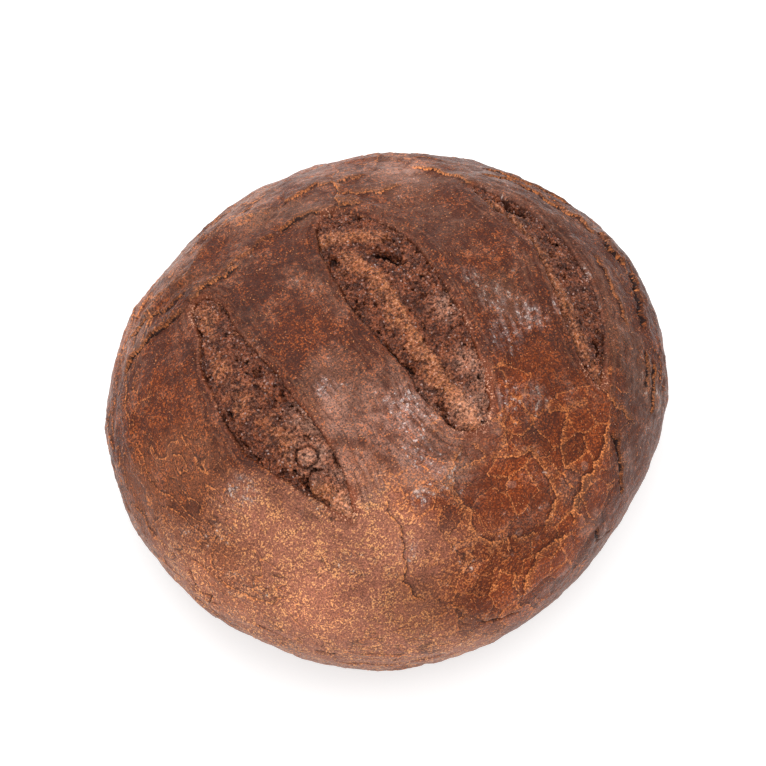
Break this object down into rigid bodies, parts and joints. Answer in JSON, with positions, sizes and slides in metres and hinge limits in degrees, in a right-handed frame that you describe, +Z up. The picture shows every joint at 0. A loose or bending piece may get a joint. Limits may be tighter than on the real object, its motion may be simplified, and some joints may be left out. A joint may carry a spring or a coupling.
{
  "type": "round rye bread loaf",
  "caption": "Dark round hearth loaf of rye bread with a domed crown, a flat sole and parallel slashes baked open across the top.",
  "frame": {"origin": "middle of the flat sole that the loaf stands on, under the middle of its bounding box", "axes": "+Z up from the sole to the crown, +X across the slashes along the longer way, +Y along the slashes"},
  "size_m": [0.2296, 0.2126, 0.0972],
  "materials": {
    "crust": "dark red-brown baked rye crust with a dull gloss, fine tan bran flecks, crackled plates on one side and rough torn crumb in the slashes"
  },
  "bodies": {
    "root": {"loaf": "crust"}
  },
  "joints": []
}
